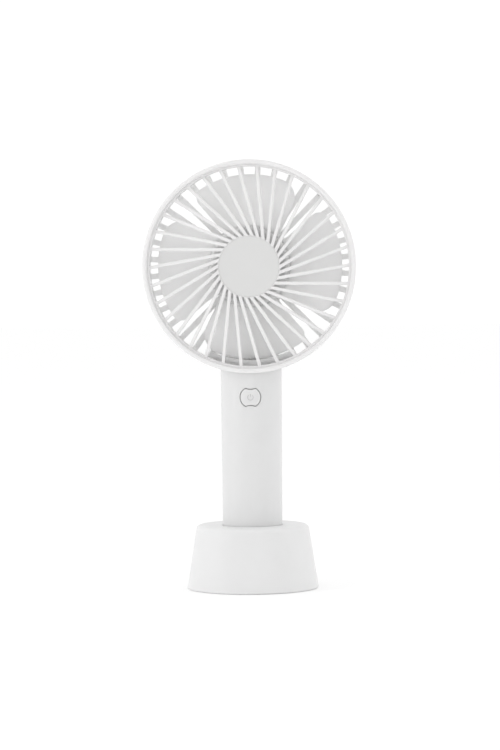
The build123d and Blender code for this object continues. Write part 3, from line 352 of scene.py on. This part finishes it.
SHELL_WHITE = moulded_plastic("shell_white", (0.74, 0.74, 0.74), glow=0.4, reach=2.5 * MM)
STAND_WHITE = moulded_plastic(
    "stand_white", (0.78, 0.78, 0.78), glow=0.4, reach=2.5 * MM, specular=0.12
)
FRONT_WHITE = moulded_plastic(
    "front_grille_white", (0.785, 0.78, 0.78), rough=0.38, glow=0.5, reach=2 * MM
)
# The rear grille's plastic is painted paler than the shell's, as painted light that lifts the shade
# on its ribs inside the head.
REAR_WHITE_PAINTED_LIGHT = moulded_plastic(
    "rear_grille_white_painted_light", (0.93, 0.927, 0.925), rough=0.38, glow=0.6, reach=3 * MM
)
# The blades' plastic is painted far paler than the front grille's, though it is the same white, as
# painted light that lifts the shade inside the cage.
BLADE_WHITE_PAINTED_LIGHT = moulded_plastic(
    "blade_white_painted_light", (0.98, 0.98, 0.975), rough=0.34, glow=1.0, reach=5 * MM
)
DISC_GREY = moulded_plastic(
    "disc_grey", (0.68, 0.68, 0.675), rough=0.36, grain=0.2 * MM, mottle=0.008
)
INNER_WHITE = moulded_plastic("inner_white", (0.80, 0.80, 0.79), rough=0.5)
BATTERY_BLUE = moulded_plastic("battery_wrap", (0.10, 0.24, 0.46), rough=0.22, mottle=0.1)
DARK_MOULD = moulded_plastic("magnet_black", (0.05, 0.05, 0.055), rough=0.5, mottle=0.15)
LEAD_RED = moulded_plastic("lead_sleeve", (0.55, 0.06, 0.05), rough=0.4, mottle=0.08)
STEEL = worked_metal("steel", (0.62, 0.62, 0.63), 0.32, 4000)
BRONZE = worked_metal("bronze", (0.66, 0.47, 0.25), 0.35, 5000)
RUBBER = foam_rubber("foot_rubber", (0.6, 0.6, 0.59))
BOARD_GREEN = solder_mask("board_green", (0.05, 0.24, 0.12))

paint(STAND_WHITE, "stand_shell")
paint(SHELL_WHITE, "handle_shell", "handle_cap", "power_button", "rear_cap")
paint(FRONT_WHITE, "front_grille")
paint(REAR_WHITE_PAINTED_LIGHT, "rear_grille")
paint(DISC_GREY, "hub_disc")
paint(INNER_WHITE, "stand_floor", "battery_cradle", "motor_end_bell", "motor_leads")
paint(RUBBER, "stand_foot")
paint(STEEL, "stand_weight", "stand_screws", "neck_screw", "board_screws", "motor_screws")
paint(STEEL, "motor_shaft", "motor_can", "motor_core", "battery_tabs", "charge_socket")
paint(BRONZE, "motor_bushings", "motor_brushes", "motor_terminals", "motor_commutator")
paint(BRONZE, "motor_windings")
paint(DARK_MOULD, "motor_magnets", "charge_tongue", "switch_body", "switch_plunger")
paint(BOARD_GREEN, "main_board", "charge_board")
paint(BATTERY_BLUE, "battery_cell")
paint(LEAD_RED, "battery_leads", "charge_leads")

# ---------------------------------------------------------------- impeller


def finish_piece(name, mesh_maker, material, body):
    """One mesh object from a bmesh, smooth, in its material, riding on its body."""
    bmesh.ops.recalc_face_normals(mesh_maker, faces=mesh_maker.faces)
    mesh = bpy.data.meshes.new(name)
    mesh_maker.to_mesh(mesh)
    mesh_maker.free()
    mesh.shade_smooth()
    mesh.materials.append(material)
    piece = bpy.data.objects.new(name, mesh)
    bpy.context.collection.objects.link(piece)
    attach(piece, body)
    return piece


def on_circle(radius, angle, centre=(0, 0)):
    return Vector((centre[0] + radius * cos(angle), centre[1] + radius * sin(angle)))


def arc(centre, first, last, steps):
    """Points round a centre from one point to another, by the shorter way."""
    start, end = first - centre, last - centre
    turn = atan2(start.x * end.y - start.y * end.x, start.dot(end))
    begin = atan2(start.y, start.x)
    angles = [begin + turn * step / steps for step in range(steps + 1)]
    return [on_circle(start.length, angle, centre) for angle in angles]


def rounded_tip(root, tip, inward, tip_r, corner_r):
    """The arc from a blade's straight edge to its tip circle: its centre and two touching points."""
    along = (tip - root).normalized()
    base = root + inward * corner_r
    reach = base.dot(along)
    travel = -reach + sqrt(reach**2 - base.length_squared + (tip_r - corner_r) ** 2)
    centre = base + along * travel
    return centre, centre - inward * corner_r, centre.normalized() * tip_r


ON_AXIS = 0.001 * MM


def lathe(maker, outline, steps):
    """Turns an outline of (depth, radius) points about the head's axis."""
    rings = []
    for depth, radius in outline:
        if radius < ON_AXIS:
            rings.append([maker.verts.new((0, depth, HEAD_Z))] * steps)
            continue
        ring = [on_circle(radius, 2 * pi * step / steps, (0, HEAD_Z)) for step in range(steps)]
        rings.append([maker.verts.new((place.x, depth, place.y)) for place in ring])
    for near, far in zip(rings, rings[1:]):
        for step in range(steps):
            after = (step + 1) % steps
            corners = dict.fromkeys((near[step], near[after], far[after], far[step]))
            if len(corners) > 2:
                maker.faces.new(corners)


def softened(corners, steps=5):
    """An open outline from (x, y, rounding) corners, with an arc at each rounded one."""
    outline = []
    for index, (x, y, rounding) in enumerate(corners):
        corner = Vector((x, y))
        if not rounding:
            outline.append(corner)
            continue
        before = (Vector(corners[index - 1][:2]) - corner).normalized()
        after = (Vector(corners[index + 1][:2]) - corner).normalized()
        half = before.angle(after) / 2
        centre = corner + (before + after).normalized() * rounding / sin(half)
        reach = rounding / tan(half)
        outline += arc(centre, corner + before * reach, corner + after * reach, steps)
    return outline


BLADES = 4
TRAILING_ROOT, TRAILING_TIP = radians(44.2), radians(55.5)
LEADING_ROOT, LEADING_TIP = radians(127.8), radians(129.4)
TRAILING_CORNER = 9.5 * MM
LEADING_CORNER = 5.0 * MM
TRAILING_Y = -9.0 * MM
LEADING_Y = 4.5 * MM
ROOT_THICK = 1.8 * MM
TIP_THICK = 1.2 * MM
BLADE_EDGE_R = 0.45 * MM
BLADE_ROWS = 16
TRAILING_STEPS, TIP_STEPS, LEADING_STEPS = 10, 24, 8
HUB_R = 19.5 * MM
HUB_WALL = 1.6 * MM
HUB_BACK_Y = 5.0 * MM
HUB_FRONT_CORNER = 2.2 * MM
HUB_STEPS = 128
BOSS_R = 3.2 * MM
BOSS_BACK_Y = -1.0 * MM
BORE_R = 1.0 * MM
BORE_FLOOR = 1.2 * MM
ROOT_R = HUB_R - HUB_WALL / 2


def blade_depth(point):
    share = (atan2(point.y, point.x) - TRAILING_ROOT) / (LEADING_ROOT - TRAILING_ROOT)
    return TRAILING_Y + (LEADING_Y - TRAILING_Y) * share


def blade_outline(tip_r):
    """The blade's outer edge, from its rounded trailing corner to its leading one."""
    trailing_root, trailing_tip = on_circle(ROOT_R, TRAILING_ROOT), on_circle(tip_r, TRAILING_TIP)
    leading_root, leading_tip = on_circle(ROOT_R, LEADING_ROOT), on_circle(tip_r, LEADING_TIP)
    left = (trailing_tip - trailing_root).normalized().orthogonal()
    right = -(leading_tip - leading_root).normalized().orthogonal()
    first, foot, crown = rounded_tip(
        trailing_root, trailing_tip, left, tip_r, TRAILING_CORNER
    )
    second, far_foot, far_crown = rounded_tip(
        leading_root, leading_tip, right, tip_r, LEADING_CORNER
    )
    edge = arc(first, foot, crown, TRAILING_STEPS)
    edge += arc(Vector((0, 0)), crown, far_crown, TIP_STEPS)[1:]
    edge += arc(second, far_crown, far_foot, LEADING_STEPS)[1:]
    return edge


def edge_of(sheet):
    """The vertices round a sheet of columns, in order."""
    around = [*sheet[0], *[column[-1] for column in sheet[1:-1]], *sheet[-1][::-1]]
    return around + [column[0] for column in sheet[-2:0:-1]]


def add_blade(maker, turn, tip_r):
    """Two sheets from the hub to the blade's outer edge, closed all round."""
    edge = blade_outline(tip_r)
    lengths = [0]
    for here, there in zip(edge, edge[1:]):
        lengths.append(lengths[-1] + (there - here).length)
    sheets = ([], [])
    for outer, length in zip(edge, lengths):
        angle = TRAILING_ROOT + (LEADING_ROOT - TRAILING_ROOT) * length / lengths[-1]
        root = on_circle(ROOT_R, angle)
        columns = ([], [])
        for row in range(BLADE_ROWS + 1):
            share = row / BLADE_ROWS
            point = root.lerp(outer, share)
            half = (ROOT_THICK + (TIP_THICK - ROOT_THICK) * share) / 2
            depth = blade_depth(point)
            x, z = point @ Matrix.Rotation(turn, 2)
            columns[0].append(maker.verts.new((x, depth - half, HEAD_Z + z)))
            columns[1].append(maker.verts.new((x, depth + half, HEAD_Z + z)))
        sheets[0].append(columns[0])
        sheets[1].append(columns[1])
    for sheet in sheets:
        for near, far in zip(sheet, sheet[1:]):
            for row in range(BLADE_ROWS):
                maker.faces.new((near[row], near[row + 1], far[row + 1], far[row]))
    rim, back_rim = edge_of(sheets[0]), edge_of(sheets[1])
    for index in range(len(rim)):
        after = (index + 1) % len(rim)
        maker.faces.new((rim[index], rim[after], back_rim[after], back_rim[index]))


def make_impeller():
    low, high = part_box("impeller")
    hub_front = low.y
    inner = hub_front + HUB_WALL
    maker = bmesh.new()
    hub = [  # depth, radius and rounding of each corner
        (hub_front, 0, 0),
        (hub_front, HUB_R, HUB_FRONT_CORNER),
        (HUB_BACK_Y, HUB_R, 0.5 * MM),
        (HUB_BACK_Y, HUB_R - HUB_WALL, 0.5 * MM),
        (inner, HUB_R - HUB_WALL, 1.0 * MM),
        (inner, BOSS_R, 0.5 * MM),
        (BOSS_BACK_Y, BOSS_R, 0.3 * MM),
        (BOSS_BACK_Y, BORE_R, 0),
        (hub_front + BORE_FLOOR, BORE_R, 0),
        (hub_front + BORE_FLOOR, 0, 0),
    ]
    lathe(maker, softened(hub), HUB_STEPS)
    for blade in range(BLADES):
        add_blade(maker, 2 * pi * blade / BLADES, high.x)
    piece = finish_piece("impeller_moulding", maker, BLADE_WHITE_PAINTED_LIGHT, "impeller")
    soften = piece.modifiers.new("soft_edges", "BEVEL")
    soften.width = BLADE_EDGE_R
    soften.segments = 3
    soften.limit_method = "ANGLE"
    soften.angle_limit = radians(50)
    soften.harden_normals = True
    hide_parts("impeller")
    return piece


IMPELLER = make_impeller()

# ---------------------------------------------------------------- power symbol

SYMBOL_R = 1.35 * MM
SYMBOL_STROKE = 0.3 * MM
SYMBOL_GAP = radians(38)  # each side of the top
SYMBOL_STEPS = 40
SYMBOL_BAR_FOOT = 0.1 * MM
SYMBOL_BAR = 1.5 * MM
SYMBOL_BAR_STEPS = 4
SYMBOL_LIFT = 0.02 * MM


def add_stroke(maker, line, width, surface_r, centre_z):
    """A flat printed line on the round front of the button."""
    sides = []
    for index, point in enumerate(line):
        ahead = line[min(index + 1, len(line) - 1)] - line[max(index - 1, 0)]
        across = ahead.normalized().orthogonal() * width / 2
        pair = []
        for place in (point - across, point + across):
            depth = -sqrt(surface_r**2 - place.x**2) - SYMBOL_LIFT
            pair.append(maker.verts.new((place.x, depth, centre_z + place.y)))
        sides.append(pair)
    for near, far in zip(sides, sides[1:]):
        maker.faces.new((near[0], near[1], far[1], far[0]))


def make_power_symbol():
    low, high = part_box("power_button")
    surface_r = -low.y
    centre_z = (low.z + high.z) / 2
    maker = bmesh.new()
    start, end = pi / 2 + SYMBOL_GAP, pi * 5 / 2 - SYMBOL_GAP
    turns = [start + (end - start) * step / SYMBOL_STEPS for step in range(SYMBOL_STEPS + 1)]
    ring = [on_circle(SYMBOL_R, turn) for turn in turns]
    climbs = [SYMBOL_BAR * step / SYMBOL_BAR_STEPS for step in range(SYMBOL_BAR_STEPS + 1)]
    bar = [Vector((0, SYMBOL_BAR_FOOT + climb)) for climb in climbs]
    add_stroke(maker, ring, SYMBOL_STROKE, surface_r, centre_z)
    add_stroke(maker, bar, SYMBOL_STROKE, surface_r, centre_z)
    ink = moulded_plastic("symbol_ink", (0.58, 0.58, 0.58), rough=0.5, mottle=0.05)
    piece = finish_piece("power_symbol", maker, ink, "button")
    body = piece.modifiers.new("ink_film", "SOLIDIFY")
    body.thickness = SYMBOL_LIFT * 1.5
    body.offset = 0


make_power_symbol()
make_camera()
make_floor()
make_light(IMPELLER)
